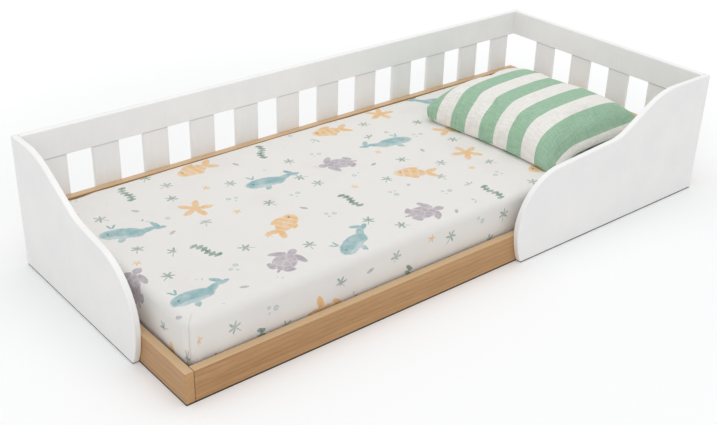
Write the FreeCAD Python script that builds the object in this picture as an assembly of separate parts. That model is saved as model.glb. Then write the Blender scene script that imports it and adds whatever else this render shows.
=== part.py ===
"""Toddler floor bed: a low wooden tray, white guards on three sides, mattress, sheet and pillow.

Millimetres. X runs from the foot to the head, Y from the open front to the back, Z up.
The origin is on the floor, at the middle of the bed's outer length and depth.
"""
import FreeCAD, Part
import os
from math import cos, pi, radians, sin, tan

Vector = FreeCAD.Vector
os.makedirs("parts", exist_ok=True)

# ---------------------------------------------------------------- mattress and tray
mattress_length = 1500.0
mattress_width = 600.0
mattress_thickness = 110.0
mattress_gap = 8.0             # free space round the mattress inside the tray
board_thickness = 20.0         # planed softwood of the tray
rail_height = 70.0             # foot rail and front rail
ladder_board_height = 150.0    # back board and head board, which carry the upright slats
edge_ease = 1.5                # sanded edges of the wooden boards
glide_height = 3.0             # the bed stands this far off the floor
glide_diameter = 16.0
glide_corner_inset = 40.0      # from the inner corner of the tray to the middle of the corner glides

# ---------------------------------------------------------------- slatted base
ledger_width = 20.0
ledger_height = 28.0
ledger_drop = 12.0             # from the top of a base slat down to the top of the ledger
base_slat_width = 66.0
base_slat_count = 12
base_slat_bevel = 2.0
base_slat_top = 48.0           # height of the sleeping base above the floor
base_end_gap = 6.0             # between the outermost base slats and the tray
base_side_gap = 2.0            # between the ends of the base slats and the tray
webbing_width = 20.0
webbing_thickness = 1.2
webbing_inset = 90.0           # from the inner face of a long rail to the webbing
webbing_end_margin = 8.0       # the webbing stops this far short of the outer edge of the last slats

# ---------------------------------------------------------------- white guards
panel_thickness = 15.0
guard_height = 320.0           # panels and top rails, above the underside of the boards
top_rail_height = 70.0
slat_thickness = 12.0
slat_width = 67.0
slat_bevel = 2.0
slat_lift = 10.0               # slats end this far above the underside of the boards
rail_lip = 3.0                 # the top rail stands proud of the slats by this much, each side
pocket_depth = 12.0            # slats sit this deep in the top rail
pocket_clearance = 0.15
back_slat_count = 12
back_foot_gap = 36.0           # from the outer face of the foot rail to the first back slat
back_head_gap = 23.0           # from the last back slat to the outer face of the head board
head_slat_count = 4
head_corner_gap = 89.0         # from the back top rail to the first head slat
head_front_gap = 92.0          # from the last head slat to the front guard
rail_radius = 2.5              # rounded edges of the white top rails
panel_bevel = 1.5              # broken edges of the two white panels

# ---------------------------------------------------------------- S-curve of the two panels
foot_panel_depth = 510.0       # from its toe to its back edge
front_guard_length = 687.0     # from its toe to its head end
toe_height = 80.0              # height of the foremost point of the toe
toe_setback = 18.0             # the toe is this much further back at the floor
lobe_radius = 138.0
hollow_radius = 120.0
shoulder_radius = 200.0
foot_ledge_length = 90.0
foot_ledge_angle = 8.0
foot_rise_angle = 28.0
front_ledge_length = 190.0
front_ledge_angle = 4.0
front_rise_angle = 30.0

# ---------------------------------------------------------------- fastenings
screw_sides = 6                # small round parts and their holes have few sides, to stay light
dowel_sides = 8
cam_sides = 12
glide_sides = 8
screw_shank = 3.6
screw_head = 8.0
screw_head_height = 2.4
screw_clearance = 0.1          # round every shank and head
hole_end = 1.0                 # pilot holes run this much deeper than the screw
slat_screw_length = 26.0
lower_screw_height = 32.0      # of the slat screws, above the underside of the boards
upper_screw_height = 122.0
panel_screw_length = 30.0
panel_screw_height = 45.0      # above the underside of the boards
panel_screw_count = 3
panel_screw_margin = 60.0      # from the ends of the stretch where a panel lies on its rail
dowel_diameter = 8.0
dowel_length = 30.0
dowel_clearance = 0.1
dowel_spread = 0.25            # dowels sit this share of a board's height from its edges
cam_diameter = 15.0
cam_depth = 12.0
cam_distance = 34.0            # from the end of a rail to the middle of its cam
cam_bolt_diameter = 6.0
cam_bolt_grip = 10.0           # length of cam bolt in the piece it pulls against
cam_bolt_hold = 5.0            # length of cam bolt inside the cam
bracket_leg = 34.0
bracket_height = 22.0
bracket_thickness = 2.5
bracket_lift = 5.0             # above the underside of the boards
bracket_hole_reach = 22.0      # from the corner to the middle of a bracket's hole
bracket_screw_length = 16.0
ledger_screw_count = 3
ledger_screw_length = 30.0
ledger_end_gap = 4.0           # between a bracket and the end of a ledger
base_screw_length = 24.0
base_screw_margin = 8.0        # a base slat screw stays this far from the end of its ledger

# ---------------------------------------------------------------- soft goods
cover_thickness = 2.0
sheet_thickness = 1.0
layer_gap = 0.3                # between one soft layer and the next, and under the mattress
mattress_corner_radius = 28.0
mattress_rim_radius = 20.0
inner_rim_bevel = 16.0         # of rims that nothing shows: of the layers inside, and underneath
sheet_hem_return = 80.0        # the sheet turns in this far under the mattress
elastic_width = 8.0
pillow_length = 448.0          # across the bed
pillow_width = 392.0           # along the bed
pillow_crown = 62.0            # above the seam
pillow_belly = 42.0            # below the seam
pillow_waist = 14.0            # each side is drawn in this much between its corners
pillow_seam = 4.0              # thickness of its sewn edge
pillow_corner_height = 10.0    # of the filling above the seam, at the corners
pillow_turn = 3.0              # degrees, seen from above
pillow_from_head = 309.0       # middle of the pillow, from the inner face of the head board
pillow_from_front = 281.0      # and from the outer face of the front rail

# ---------------------------------------------------------------- places worked out from the sizes
inner_length = mattress_length + 2 * mattress_gap
inner_width = mattress_width + 2 * mattress_gap
top_rail_thickness = slat_thickness + 2 * rail_lip
rail_overhang = slat_thickness + rail_lip       # of a top rail, beyond the tray
overall_length = panel_thickness + inner_length + 2 * board_thickness + rail_overhang
overall_depth = panel_thickness + inner_width + 2 * board_thickness + rail_overhang

foot_outer = -overall_length / 2 + panel_thickness      # outer face of the foot rail
foot_inner = foot_outer + board_thickness
head_inner = foot_inner + inner_length
head_outer = head_inner + board_thickness
head_end = head_outer + rail_overhang                   # outer face of the head top rail
front_outer = -overall_depth / 2 + panel_thickness      # outer face of the front rail
front_inner = front_outer + board_thickness
back_inner = front_inner + inner_width
back_outer = back_inner + board_thickness
back_end = back_outer + rail_overhang                   # outer face of the back top rail
underside = glide_height                                # of every board
guard_top = underside + guard_height
top_rail_bottom = guard_top - top_rail_height
base_slat_thickness = ledger_drop
ledger_top = base_slat_top - ledger_drop
head_rail_inner = head_outer - rail_lip
back_rail_inner = back_outer - rail_lip

nodes = {}
AXIS = {"x": Vector(1, 0, 0), "y": Vector(0, 1, 0), "z": Vector(0, 0, 1)}


def widened(span, by):
    return (span[0] - by, span[1] + by)


def block(x, y, z):
    """A box given by its two limits on each axis."""
    return Part.makeBox(x[1] - x[0], y[1] - y[0], z[1] - z[0], Vector(x[0], y[0], z[0]))


def edges_along(shape, axis):
    """The straight edges of a box-like shape that run along one axis."""
    chosen = []
    for edge in shape.Edges:
        run = edge.Vertexes[-1].Point - edge.Vertexes[0].Point
        if run.Length > 0 and abs(run.normalize().dot(axis)) > 0.999:
            chosen.append(edge)
    return chosen


def eased_board(x, y, z, along, radius):
    """A board with its four long edges rounded."""
    plain = block(x, y, z)
    return plain.makeFillet(radius, edges_along(plain, AXIS[along]))


def bevelled_board(x, y, z, along, bevel):
    """A board with its four long edges planed off."""
    plain = block(x, y, z)
    return plain.makeChamfer(bevel, edges_along(plain, AXIS[along]))


def bar(start, axis, diameter, length, sides=screw_sides):
    """A small round bar, as a prism whose faces are as far apart as the diameter."""
    across = AXIS["z"] if abs(axis.z) < 0.5 else AXIS["x"]
    other = axis.cross(across)
    radius = diameter / 2 / cos(pi / sides)
    corners = []
    for i in range(sides + 1):
        angle = pi / sides * (2 * i + 1)
        corners.append(start + across * (radius * cos(angle)) + other * (radius * sin(angle)))
    return Part.Face(Part.makePolygon(corners)).extrude(axis * length)


def screw(seat, axis, length):
    """A screw whose head sits on the point seat and whose shank runs along axis."""
    head = bar(seat - axis * screw_head_height, axis, screw_head, screw_head_height)
    return head.fuse(bar(seat, axis, screw_shank, length)).removeSplitter()


def screw_hole(seat, axis, length):
    """The counterbore and the pilot hole that a screw at the same seat needs."""
    counterbore = bar(seat - axis * (screw_head_height + 1), axis,
                      screw_head + 2 * screw_clearance, screw_head_height + 1)
    return counterbore.fuse(bar(seat, axis, screw_shank + 2 * screw_clearance, length + hole_end))


def drill(name, tools):
    nodes[name] = nodes[name].cut(tools)


# ---------------------------------------------------------------- tray
rail_span = (underside, underside + rail_height)
ladder_span = (underside, underside + ladder_board_height)
foot_rail_x = (foot_outer, foot_inner)
front_rail_y = (front_outer, front_inner)
head_board_x = (head_inner, head_outer)
back_board_y = (back_inner, back_outer)
end_board_y = (front_outer, back_inner)
nodes["foot_rail"] = eased_board(foot_rail_x, end_board_y, rail_span, "y", edge_ease)
nodes["front_rail"] = eased_board((foot_inner, head_inner), front_rail_y, rail_span, "x", edge_ease)
nodes["head_board"] = eased_board(head_board_x, end_board_y, ladder_span, "y", edge_ease)
nodes["back_board"] = eased_board((foot_outer, head_outer), back_board_y, ladder_span, "x", edge_ease)

# ---------------------------------------------------------------- slatted base
ledger_span = (ledger_top - ledger_height, ledger_top)
ledger_ends = widened((foot_inner, head_inner), -bracket_leg - ledger_end_gap)
nodes["front_ledger"] = block(ledger_ends, (front_inner, front_inner + ledger_width), ledger_span)
nodes["back_ledger"] = block(ledger_ends, (back_inner - ledger_width, back_inner), ledger_span)

base_pitch = (inner_length - 2 * base_end_gap - base_slat_width) / (base_slat_count - 1)
base_slat_middles = [foot_inner + base_end_gap + base_slat_width / 2 + i * base_pitch
                     for i in range(base_slat_count)]
base_slat_names = ["base_slat_%02d" % (i + 1) for i in range(base_slat_count)]
for name, middle in zip(base_slat_names, base_slat_middles):
    nodes[name] = bevelled_board(widened((middle, middle), base_slat_width / 2),
                                 widened((front_inner, back_inner), -base_side_gap),
                                 (ledger_top, base_slat_top), "y", base_slat_bevel)

webbing_ends = widened((foot_inner, head_inner), -base_end_gap - webbing_end_margin)
webbing_level = (ledger_top - webbing_thickness, ledger_top)
webbing_front_y = (front_inner + webbing_inset, front_inner + webbing_inset + webbing_width)
webbing_back_y = (back_inner - webbing_inset - webbing_width, back_inner - webbing_inset)
nodes["base_webbing_front"] = block(webbing_ends, webbing_front_y, webbing_level)
nodes["base_webbing_back"] = block(webbing_ends, webbing_back_y, webbing_level)


# ---------------------------------------------------------------- panels with the S-curve
def turn(start, heading, radius, swing):
    """An arc as start, middle and end point, and its end heading. Degrees; swing > 0 turns left."""
    to_centre = radians(heading + (90 if swing > 0 else -90))
    centre = (start[0] + radius * cos(to_centre), start[1] + radius * sin(to_centre))
    points = []
    for share in (0.5, 1.0):
        angle = to_centre + pi + radians(swing * share)
        points.append((centre[0] + radius * cos(angle), centre[1] + radius * sin(angle)))
    return (start, points[0], points[1]), heading + swing


def s_outline(length, ledge_length, ledge_angle, rise_angle):
    """Outline in (u, z): u from the toe's foremost point to the high end, z from the underside up.

    From the floor the toe leans out to its foremost point, goes round the big lobe, along a
    nearly level ledge, round the hollow, up a straight rise and over the shoulder to the top.
    """
    toe_radius = (toe_height ** 2 + toe_setback ** 2) / (2 * toe_setback)
    half_lean = toe_height / toe_radius / 2
    toe_middle = (toe_radius * (1 - cos(half_lean)), toe_height - toe_radius * sin(half_lean))
    toe = ((toe_setback, 0.0), toe_middle, (0.0, toe_height))
    lobe, heading = turn(toe[-1], 90.0, lobe_radius, ledge_angle - 90.0)
    ledge_end = (lobe[-1][0] + ledge_length * cos(radians(heading)),
                 lobe[-1][1] + ledge_length * sin(radians(heading)))
    hollow, heading = turn(ledge_end, heading, hollow_radius, rise_angle - ledge_angle)
    shoulder_start = guard_height - shoulder_radius * (1 - cos(radians(rise_angle)))
    rise_run = (shoulder_start - hollow[-1][1]) / tan(radians(rise_angle))
    rise_end = (hollow[-1][0] + rise_run, shoulder_start)
    shoulder, heading = turn(rise_end, heading, shoulder_radius, -rise_angle)
    top_end = (length, guard_height)
    foot_end = (length, 0.0)
    return [toe, lobe, (lobe[-1], ledge_end), hollow, (hollow[-1], rise_end), shoulder,
            (shoulder[-1], top_end), (top_end, foot_end), (foot_end, toe[0])]


def s_panel(outline, across, place):
    """A panel of the given outline with its edges planed off; place turns (u, z) into a point."""
    edges = []
    for piece in outline:
        points = [place(*point) for point in piece]
        curve = Part.Arc(*points) if len(points) == 3 else Part.LineSegment(*points)
        edges.append(curve.toShape())
    plain = Part.Face(Part.Wire(edges)).extrude(across * panel_thickness)
    rims = []
    for edge in plain.Edges:
        on_floor = edge.BoundBox.ZMax < underside + panel_bevel
        runs_across = abs(edge.tangentAt(edge.FirstParameter).dot(across)) > 0.9
        if not on_floor and not runs_across:
            rims.append(edge)
    return plain.makeChamfer(panel_bevel, rims)


foot_outline = s_outline(foot_panel_depth, foot_ledge_length, foot_ledge_angle, foot_rise_angle)
front_outline = s_outline(front_guard_length, front_ledge_length, front_ledge_angle, front_rise_angle)
foot_toe = back_end - foot_panel_depth
guard_toe = head_end - front_guard_length
nodes["foot_panel"] = s_panel(
    foot_outline, AXIS["x"],
    lambda u, z: Vector(foot_outer - panel_thickness, foot_toe + u, underside + z))
nodes["front_guard"] = s_panel(
    front_outline, AXIS["y"],
    lambda u, z: Vector(guard_toe + u, front_outer - panel_thickness, underside + z))

# ---------------------------------------------------------------- ladders: top rails and slats
rail_levels = (top_rail_bottom, guard_top)
nodes["back_top_rail"] = eased_board((foot_outer, head_end), (back_rail_inner, back_end),
                                     rail_levels, "x", rail_radius)
nodes["head_top_rail"] = eased_board((head_rail_inner, head_end), (front_outer, back_rail_inner),
                                     rail_levels, "y", rail_radius)


def evenly_spaced(span, count):
    """The two edges of each of a row of slats that fills a span."""
    pitch = (span[1] - span[0] - slat_width) / (count - 1)
    starts = [span[0] + i * pitch for i in range(count)]
    return [(start, start + slat_width) for start in starts]


slat_levels = (underside + slat_lift, top_rail_bottom + pocket_depth)
pocket_levels = (top_rail_bottom - 1, slat_levels[1] + pocket_clearance)
back_slat_span = (foot_outer + back_foot_gap, head_outer - back_head_gap)
head_slat_span = (front_outer + head_front_gap, back_rail_inner - head_corner_gap)
back_slat_spans = evenly_spaced(back_slat_span, back_slat_count)
head_slat_spans = evenly_spaced(head_slat_span, head_slat_count)
back_slat_names = ["back_slat_%02d" % (i + 1) for i in range(back_slat_count)]
head_slat_names = ["head_slat_%d" % (i + 1) for i in range(head_slat_count)]
slat_y = (back_outer, back_outer + slat_thickness)
slat_x = (head_outer, head_outer + slat_thickness)
for name, span in zip(back_slat_names, back_slat_spans):
    nodes[name] = bevelled_board(span, slat_y, slat_levels, "z", slat_bevel)
for name, span in zip(head_slat_names, head_slat_spans):
    nodes[name] = bevelled_board(slat_x, span, slat_levels, "z", slat_bevel)
pocket_y = widened(slat_y, pocket_clearance)
pocket_x = widened(slat_x, pocket_clearance)
drill("back_top_rail", [block(widened(span, pocket_clearance), pocket_y, pocket_levels)
                        for span in back_slat_spans])
drill("head_top_rail", [block(pocket_x, widened(span, pocket_clearance), pocket_levels)
                        for span in head_slat_spans])


# ---------------------------------------------------------------- slat screws, from outside
def fit_slat_screws(slat_names, board_name, spans, place, inward):
    screws = []
    holes = []
    for name, span in zip(slat_names, spans):
        for height in (lower_screw_height, upper_screw_height):
            seat = place((span[0] + span[1]) / 2, underside + height)
            screws.append(screw(seat, inward, slat_screw_length))
            hole = screw_hole(seat, inward, slat_screw_length)
            drill(name, [hole])
            holes.append(hole)
    drill(board_name, holes)
    return Part.makeCompound(screws)


slat_seat = slat_thickness - screw_head_height
nodes["back_slat_screws"] = fit_slat_screws(
    back_slat_names, "back_board", back_slat_spans,
    lambda along, up: Vector(along, back_outer + slat_seat, up), -AXIS["y"])
nodes["head_slat_screws"] = fit_slat_screws(
    head_slat_names, "head_board", head_slat_spans,
    lambda along, up: Vector(head_outer + slat_seat, along, up), -AXIS["x"])

# ---------------------------------------------------------------- panel screws, from inside the tray
panel_screws = []
foot_screw_run = widened((foot_toe, back_inner), -panel_screw_margin)
front_screw_run = widened((guard_toe, head_inner), -panel_screw_margin)
for i in range(panel_screw_count):
    share = i / (panel_screw_count - 1)
    up = underside + panel_screw_height
    foot_seat = Vector(foot_inner - screw_head_height,
                       foot_screw_run[0] + share * (foot_screw_run[1] - foot_screw_run[0]), up)
    front_seat = Vector(front_screw_run[0] + share * (front_screw_run[1] - front_screw_run[0]),
                        front_inner - screw_head_height, up)
    for seat, inward, rail, panel in ((foot_seat, -AXIS["x"], "foot_rail", "foot_panel"),
                                      (front_seat, -AXIS["y"], "front_rail", "front_guard")):
        panel_screws.append(screw(seat, inward, panel_screw_length))
        hole = screw_hole(seat, inward, panel_screw_length)
        drill(rail, [hole])
        drill(panel, [hole])
nodes["panel_screws"] = Part.makeCompound(panel_screws)


# ---------------------------------------------------------------- dowels
def fit_dowels(x, y, levels, into, pair):
    """Two dowels across a butt joint at (x, y); into points into the board that is butted."""
    dowels = []
    for share in (dowel_spread, 1 - dowel_spread):
        seam = Vector(x, y, levels[0] + share * (levels[1] - levels[0]))
        start = seam - into * (dowel_length / 3)
        dowels.append(bar(start, into, dowel_diameter, dowel_length, dowel_sides))
        hole = bar(start - into * dowel_clearance, into, dowel_diameter + 2 * dowel_clearance,
                   dowel_length + 2 * dowel_clearance, dowel_sides)
        for name in pair:
            drill(name, [hole])
    return dowels


mid_foot = (foot_outer + foot_inner) / 2
mid_head = (head_inner + head_outer) / 2
mid_front = (front_outer + front_inner) / 2
mid_back = (back_inner + back_outer) / 2
mid_back_rail = (back_rail_inner + back_end) / 2
mid_head_rail = (head_rail_inner + head_end) / 2
nodes["corner_dowels"] = Part.makeCompound(
    fit_dowels(foot_inner, mid_front, rail_span, AXIS["x"], ("foot_rail", "front_rail"))
    + fit_dowels(head_inner, mid_front, rail_span, -AXIS["x"], ("head_board", "front_rail"))
    + fit_dowels(mid_foot, back_inner, rail_span, -AXIS["y"], ("back_board", "foot_rail"))
    + fit_dowels(mid_head, back_inner, ladder_span, -AXIS["y"], ("back_board", "head_board")))
nodes["rail_dowels"] = Part.makeCompound(
    fit_dowels(foot_outer, mid_back_rail, rail_levels, AXIS["x"],
               ("foot_panel", "back_top_rail"))
    + fit_dowels(mid_head_rail, back_rail_inner, rail_levels, -AXIS["y"],
                 ("back_top_rail", "head_top_rail"))
    + fit_dowels(mid_head_rail, front_outer, rail_levels, AXIS["y"],
                 ("front_guard", "head_top_rail")))


# ---------------------------------------------------------------- cam fittings of the top rails
def fit_cam(joint, into, outward, rail_name, anchor_name):
    """A cam in the outer face of a rail pulls on a bolt that is screwed into the piece it meets."""
    face = joint + into * cam_distance + outward * (top_rail_thickness / 2)
    cam = bar(face - outward * cam_depth, outward, cam_diameter, cam_depth, cam_sides)
    cam_hole = bar(face - outward * (cam_depth + screw_clearance), outward,
                   cam_diameter + 2 * screw_clearance, cam_depth + 1, cam_sides)
    bolt_start = joint - into * cam_bolt_grip
    bolt_length = cam_bolt_grip + cam_distance - cam_diameter / 2 + cam_bolt_hold
    bolt = bar(bolt_start, into, cam_bolt_diameter, bolt_length)
    bolt_hole = bar(bolt_start - into * screw_clearance, into,
                    cam_bolt_diameter + 2 * screw_clearance, bolt_length + 2 * screw_clearance)
    drill(rail_name, [cam_hole, bolt_hole])
    drill(anchor_name, [bolt_hole])
    return cam.cut(bolt_hole), bolt


mid_top_rail = sum(rail_levels) / 2
foot_back_joint = Vector(foot_outer, mid_back_rail, mid_top_rail)
head_back_joint = Vector(mid_head_rail, back_rail_inner, mid_top_rail)
head_front_joint = Vector(mid_head_rail, front_outer, mid_top_rail)
cam_pairs = [
    fit_cam(foot_back_joint, AXIS["x"], AXIS["y"], "back_top_rail", "foot_panel"),
    fit_cam(head_back_joint, -AXIS["y"], AXIS["x"], "head_top_rail", "back_top_rail"),
    fit_cam(head_front_joint, AXIS["y"], AXIS["x"], "head_top_rail", "front_guard"),
]
nodes["cam_locks"] = Part.makeCompound([cam for cam, bolt in cam_pairs])
nodes["cam_bolts"] = Part.makeCompound([bolt for cam, bolt in cam_pairs])

# ---------------------------------------------------------------- corner brackets and their screws
bracket_levels = (underside + bracket_lift, underside + bracket_lift + bracket_height)
brackets = []
bracket_screws = []
corners = [
    (foot_inner, front_inner, 1, 1, "foot_rail", "front_rail"),
    (head_inner, front_inner, -1, 1, "head_board", "front_rail"),
    (foot_inner, back_inner, 1, -1, "foot_rail", "back_board"),
    (head_inner, back_inner, -1, -1, "head_board", "back_board"),
]
level = sum(bracket_levels) / 2
for corner_x, corner_y, way_x, way_y, end_name, long_name in corners:
    leg_x = sorted((corner_x, corner_x + way_x * bracket_leg))
    leg_y = sorted((corner_y, corner_y + way_y * bracket_leg))
    skin_x = sorted((corner_x, corner_x + way_x * bracket_thickness))
    skin_y = sorted((corner_y, corner_y + way_y * bracket_thickness))
    bracket = block(leg_x, skin_y, bracket_levels)
    bracket = bracket.fuse(block(skin_x, leg_y, bracket_levels)).removeSplitter()
    on_end_board = Vector(corner_x + way_x * bracket_thickness,
                          corner_y + way_y * bracket_hole_reach, level)
    on_long_board = Vector(corner_x + way_x * bracket_hole_reach,
                           corner_y + way_y * bracket_thickness, level)
    for seat, inward, name in ((on_end_board, AXIS["x"] * -way_x, end_name),
                               (on_long_board, AXIS["y"] * -way_y, long_name)):
        bracket_screws.append(screw(seat, inward, bracket_screw_length))
        pilot = bar(seat - inward, inward, screw_shank + 2 * screw_clearance,
                    bracket_screw_length + 1 + hole_end)
        bracket = bracket.cut(pilot)
        drill(name, [pilot])
    brackets.append(bracket)
nodes["corner_brackets"] = Part.makeCompound(brackets)
nodes["bracket_screws"] = Part.makeCompound(bracket_screws)

# ---------------------------------------------------------------- ledger and base slat screws
ledger_screws = []
ledger_screw_seat = ledger_width - screw_head_height
ledger_level = sum(ledger_span) / 2
for i in range(ledger_screw_count):
    share = (i + 0.5) / ledger_screw_count
    x = ledger_ends[0] + share * (ledger_ends[1] - ledger_ends[0])
    front_seat = Vector(x, front_inner + ledger_screw_seat, ledger_level)
    back_seat = Vector(x, back_inner - ledger_screw_seat, ledger_level)
    for seat, inward, pair in ((front_seat, -AXIS["y"], ("front_ledger", "front_rail")),
                               (back_seat, AXIS["y"], ("back_ledger", "back_board"))):
        ledger_screws.append(screw(seat, inward, ledger_screw_length))
        hole = screw_hole(seat, inward, ledger_screw_length)
        for name in pair:
            drill(name, [hole])
nodes["ledger_screws"] = Part.makeCompound(ledger_screws)

base_screws = []
base_screw_run = widened(ledger_ends, -base_screw_margin)
for i in (0, base_slat_count // 2, base_slat_count - 1):
    x = min(max(base_slat_middles[i], base_screw_run[0]), base_screw_run[1])
    for y, ledger in ((front_inner + ledger_width / 2, "front_ledger"),
                      (back_inner - ledger_width / 2, "back_ledger")):
        seat = Vector(x, y, base_slat_top - screw_head_height)
        base_screws.append(screw(seat, -AXIS["z"], base_screw_length))
        hole = screw_hole(seat, -AXIS["z"], base_screw_length)
        drill(base_slat_names[i], [hole])
        drill(ledger, [hole])
nodes["base_slat_screws"] = Part.makeCompound(base_screws)

# ---------------------------------------------------------------- floor glides
middle_x = (foot_inner + head_inner) / 2
middle_y = (front_inner + back_inner) / 2
glide_places = [(mid_foot, middle_y), (mid_head, middle_y)]
for x in (foot_inner + glide_corner_inset, middle_x, head_inner - glide_corner_inset):
    glide_places += [(x, mid_front), (x, mid_back)]
nodes["floor_glides"] = Part.makeCompound([
    bar(Vector(x, y, 0), AXIS["z"], glide_diameter, glide_height, glide_sides)
    for x, y in glide_places])


# ---------------------------------------------------------------- mattress, cover, sheet and elastic
sheet_bottom = base_slat_top + layer_gap
mattress_bottom = sheet_bottom + sheet_thickness + layer_gap
mattress_x = widened((middle_x, middle_x), mattress_length / 2)
mattress_y = widened((middle_y, middle_y), mattress_width / 2)


def mattress_form(grow, rounded_top=False):
    """The mattress as a block with round corners, grown all round by a layer's thickness."""
    x = widened(mattress_x, grow)
    y = widened(mattress_y, grow)
    z = widened((mattress_bottom, mattress_bottom + mattress_thickness), grow)
    plain = block(x, y, z)
    upright = plain.makeFillet(mattress_corner_radius + grow, edges_along(plain, AXIS["z"]))
    top_rim = [edge for edge in upright.Edges if edge.BoundBox.ZMin > z[1] - 0.01]
    if rounded_top:
        form = upright.makeFillet(mattress_rim_radius + grow, top_rim)
    else:
        form = upright.makeChamfer(inner_rim_bevel + grow, top_rim)
    bottom_rim = [edge for edge in form.Edges if edge.BoundBox.ZMax < z[0] + 0.01]
    return form.makeChamfer(inner_rim_bevel + grow, bottom_rim)


nodes["mattress_core"] = mattress_form(-cover_thickness - layer_gap)
nodes["mattress_cover"] = mattress_form(0).cut(mattress_form(-cover_thickness))
sheet_inner = mattress_form(layer_gap)
sheet_outer = mattress_form(layer_gap + sheet_thickness, rounded_top=True)
window_x = widened(mattress_x, -sheet_hem_return)
window_y = widened(mattress_y, -sheet_hem_return)
window = block(window_x, window_y, (sheet_bottom - 1, mattress_bottom))
nodes["fitted_sheet"] = sheet_outer.cut(sheet_inner).cut(window)
elastic_level = (sheet_bottom, sheet_bottom + sheet_thickness)
elastic_outer = block(window_x, window_y, elastic_level)
elastic_inner = block(widened(window_x, -elastic_width), widened(window_y, -elastic_width),
                      elastic_level)
nodes["sheet_elastic"] = elastic_outer.cut(elastic_inner)

# ---------------------------------------------------------------- pillow
sheet_top = mattress_bottom + mattress_thickness + layer_gap + sheet_thickness
seam_level = sheet_top + layer_gap + pillow_belly
pillow_stations = (-1.0, -0.92, -0.7, -0.25, 0.25, 0.7, 0.92, 1.0)


def pillow_section(station):
    """Cross-section at a share of the length: two arcs joined by the short upright of the seam."""
    fullness = (1 - abs(station) ** 2.6) ** 0.62
    corner_share = pillow_corner_height / pillow_crown
    swell = corner_share + (1 - corner_share) * fullness
    half_width = pillow_width / 2 - pillow_waist * (1 - station ** 2)
    along = station * pillow_length / 2
    seam = pillow_seam / 2
    left_low, left_high = Vector(-half_width, along, -seam), Vector(-half_width, along, seam)
    right_low, right_high = Vector(half_width, along, -seam), Vector(half_width, along, seam)
    return Part.Wire([
        Part.Arc(left_low, Vector(0, along, -pillow_belly * swell), right_low).toShape(),
        Part.LineSegment(right_low, right_high).toShape(),
        Part.Arc(right_high, Vector(0, along, pillow_crown * swell), left_high).toShape(),
        Part.LineSegment(left_high, left_low).toShape(),
    ])


pillow = Part.makeLoft([pillow_section(station) for station in pillow_stations], True, True)
pillow.rotate(Vector(0, 0, 0), AXIS["z"], pillow_turn)
pillow.translate(Vector(head_inner - pillow_from_head, front_outer + pillow_from_front, seam_level))
nodes["pillow"] = pillow

# ---------------------------------------------------------------- one file per piece or group of like pieces
for name, shape in nodes.items():
    shape.exportStep("parts/%s.step" % name)
print(len(nodes), "nodes,", sum(len(shape.Solids) for shape in nodes.values()), "solids")
print("overall %.0f x %.0f x %.0f mm" % (overall_length, overall_depth, guard_top))
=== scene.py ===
"""Toddler floor bed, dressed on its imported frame.

Metres, in the frame's own axes: X runs from the foot to the head, Y from the open front to the
back, Z up, and the origin is on the floor at the middle of the bed.
"""
import bmesh
import bpy
from math import cos, exp, hypot, pi, radians, sin
from mathutils import Matrix, Vector, noise


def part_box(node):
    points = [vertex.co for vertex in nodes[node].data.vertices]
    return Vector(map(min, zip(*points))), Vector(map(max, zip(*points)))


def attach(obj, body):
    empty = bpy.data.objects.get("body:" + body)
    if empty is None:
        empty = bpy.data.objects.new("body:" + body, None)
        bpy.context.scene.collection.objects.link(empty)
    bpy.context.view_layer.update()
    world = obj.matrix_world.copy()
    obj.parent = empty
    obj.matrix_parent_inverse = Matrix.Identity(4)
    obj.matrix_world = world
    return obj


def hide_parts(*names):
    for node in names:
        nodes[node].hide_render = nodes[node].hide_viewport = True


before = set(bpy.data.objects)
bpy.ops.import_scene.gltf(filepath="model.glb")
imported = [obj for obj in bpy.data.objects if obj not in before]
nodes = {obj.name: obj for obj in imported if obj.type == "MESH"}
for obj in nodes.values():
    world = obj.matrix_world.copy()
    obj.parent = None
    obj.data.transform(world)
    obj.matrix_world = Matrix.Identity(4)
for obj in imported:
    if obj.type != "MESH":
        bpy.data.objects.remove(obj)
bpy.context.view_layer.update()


# ---------------------------------------------------------------- wooden tray
# Four planed boards of pale wood, dowelled at the corners, with a steel bracket inside each
# corner, and finished with oil. Their flat top faces are painted lighter, a painted highlight of the light
# from above. Where two boards meet, a fine dark seam shows beside the end grain.
class Link:
    """A value in a finish's node tree. Its operators add the Math nodes that they need."""

    def __init__(self, finish, socket):
        self.finish = finish
        self.socket = socket

    def math(self, operation, *others, clamp=False):
        inputs = {0: self} | {i + 1: other for i, other in enumerate(others)}
        return self.finish.node("Math", {"operation": operation, "use_clamp": clamp}, inputs)

    def __add__(self, other):
        return self.math("ADD", other)

    def __radd__(self, other):
        return self.math("ADD", other)

    def __sub__(self, other):
        return self.math("SUBTRACT", other)

    def __rsub__(self, other):
        return self.math("MULTIPLY_ADD", -1.0, other)

    def __mul__(self, other):
        return self.math("MULTIPLY", other)

    def __rmul__(self, other):
        return self.math("MULTIPLY", other)

    def __truediv__(self, other):
        return self.math("DIVIDE", other)

    def __gt__(self, other):
        return self.math("GREATER_THAN", other)

    def __lt__(self, other):
        return self.math("LESS_THAN", other)

    def between(self, low, high):
        """0 up to low, 1 from high on and a smooth step between them."""
        return self.finish.node("MapRange", {"interpolation_type": "SMOOTHSTEP"},
                                {"Value": self, "From Min": low, "From Max": high})

    def length(self):
        return self.finish.node("VectorMath", {"operation": "LENGTH"}, {0: self}, output="Value")

    def part(self, axis):
        return self.finish.node("SeparateXYZ", {}, {0: self}, output=axis)


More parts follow.
